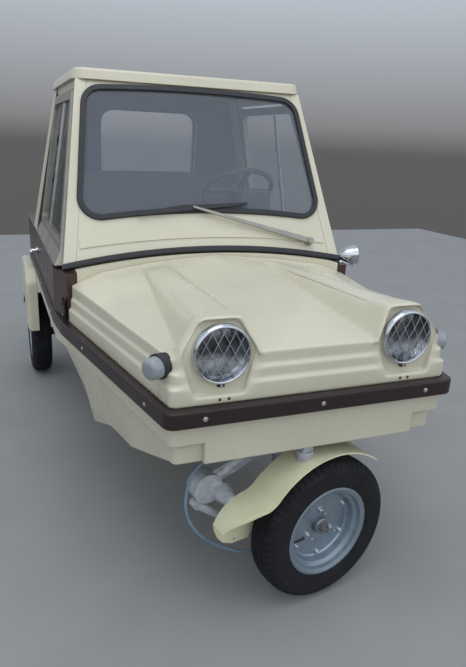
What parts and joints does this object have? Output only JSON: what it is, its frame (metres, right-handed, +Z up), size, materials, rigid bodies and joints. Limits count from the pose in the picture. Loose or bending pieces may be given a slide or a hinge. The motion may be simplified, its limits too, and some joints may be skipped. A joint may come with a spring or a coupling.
{
  "type": "three wheeled car",
  "caption": "Small fibreglass car with one steered front wheel under the nose, two rear wheels, opening doors and hood.",
  "frame": {"origin": "on the floor under the middle of the overall box", "axes": "+Z up, -Y toward the nose, +X toward the car's left"},
  "size_m": [1.256, 2.4508, 1.518],
  "materials": {
    "cream_shell": "aged glossy fibreglass",
    "brown_shell": "glossy fibreglass",
    "brown_trim": "semi-gloss moulding",
    "fender_cream": "gloss paint",
    "dark_paint": "satin paint",
    "silver_paint": "silver paint on pressed steel",
    "hub_steel": "zinc plated and cast",
    "cast_metal": "rough casting",
    "bright_metal": "polished",
    "black_rubber": "matt",
    "tyre_rubber": "matt",
    "black_plastic": "matt",
    "cable_sheath": "satin plastic sheath",
    "clear_glass": "clear",
    "clear_plastic": "clear flexible sheet, aged",
    "clear_lens": "ribbed clear plastic",
    "red_lens": "red plastic",
    "seat_vinyl": "grained vinyl"
  },
  "bodies": {
    "root": {"lower_hull": "cream_shell", "waist_strip": "brown_trim", "floor_pan": "dark_paint", "body_sides": "brown_shell", "cowl": "brown_shell", "tail_deck": "cream_shell", "tail_panel": "brown_shell", "cab_front": "cream_shell", "windscreen_seal": "black_rubber", "windscreen": "clear_glass", "cowl_rubber": "black_rubber", "roof": "cream_shell", "rear_wall": "cream_shell", "rear_window_seal": "black_rubber", "rear_window": "clear_glass", "steering_head": "dark_paint", "rear_frame": "dark_paint", "engine_block": "cast_metal", "rear_fenders": "cream_shell", "seat_cushion": "seat_vinyl", "seat_back": "seat_vinyl", "seat_base": "dark_paint", "dashboard": "black_plastic", "steering_column": "dark_paint", "wiper": "bright_metal", "wiper_blade": "black_plastic", "mirror": "bright_metal", "tail_lamps": "red_lens"},
    "hood": {"hood": "cream_shell", "headlamps": "bright_metal", "headlamp_lenses": "clear_glass", "indicators": "clear_lens"},
    "door_left": {"door_panel_left": "brown_shell", "door_frame_left": "cream_shell", "door_window_left": "clear_plastic", "door_handle_left": "bright_metal"},
    "door_right": {"door_panel_right": "brown_shell", "door_frame_right": "cream_shell", "door_window_right": "clear_plastic", "door_handle_right": "bright_metal"},
    "steering": {"steering_stem": "dark_paint", "front_arm": "cast_metal", "front_fender": "fender_cream", "brake_cable": "cable_sheath"},
    "front_wheel": {"front_tyre": "tyre_rubber", "front_rim": "silver_paint", "front_hub": "hub_steel"},
    "rear_wheel_left": {"rear_left_tyre": "tyre_rubber", "rear_left_rim": "silver_paint", "rear_left_hub": "hub_steel"},
    "rear_wheel_right": {"rear_right_tyre": "tyre_rubber", "rear_right_rim": "silver_paint", "rear_right_hub": "hub_steel"},
    "steering_wheel": {"steering_wheel": "black_plastic"}
  },
  "joints": [
    {"name": "steering", "type": "hinge", "parent": "root", "child": "steering", "pos_m": [0, -1.145, 0.55], "axis": [0, 0, 1], "range_deg": [-2, 162]},
    {"name": "front_wheel_spin", "type": "hinge", "parent": "steering", "child": "front_wheel", "pos_m": [0.07386, -1.13198, 0.221], "axis": [0.1736, -0.9848, 0], "continuous": true},
    {"name": "rear_wheel_left_spin", "type": "hinge", "parent": "root", "child": "rear_wheel_left", "pos_m": [0.561, 0.954, 0.221], "axis": [1, 0, 0], "continuous": true},
    {"name": "rear_wheel_right_spin", "type": "hinge", "parent": "root", "child": "rear_wheel_right", "pos_m": [-0.561, 0.954, 0.221], "axis": [1, 0, 0], "continuous": true},
    {"name": "door_left", "type": "hinge", "parent": "root", "child": "door_left", "pos_m": [0.572, -0.2665, 0.8], "axis": [0, 0, -1], "range_deg": [0, 70]},
    {"name": "door_right", "type": "hinge", "parent": "root", "child": "door_right", "pos_m": [-0.572, -0.2665, 0.8], "axis": [0, 0, 1], "range_deg": [0, 70]},
    {"name": "hood", "type": "hinge", "parent": "root", "child": "hood", "pos_m": [0, -1.19, 0.681], "axis": [1, 0, 0], "range_deg": [0, 50]},
    {"name": "steering_wheel", "type": "hinge", "parent": "root", "child": "steering_wheel", "pos_m": [0.218, -0.02, 1.088], "axis": [0, 0.6, 0.8], "range_deg": [-5, 410]}
  ],
  "couplings": [
    {"joint": "steering_wheel", "follows": "steering", "ratio": 2.5}
  ]
}
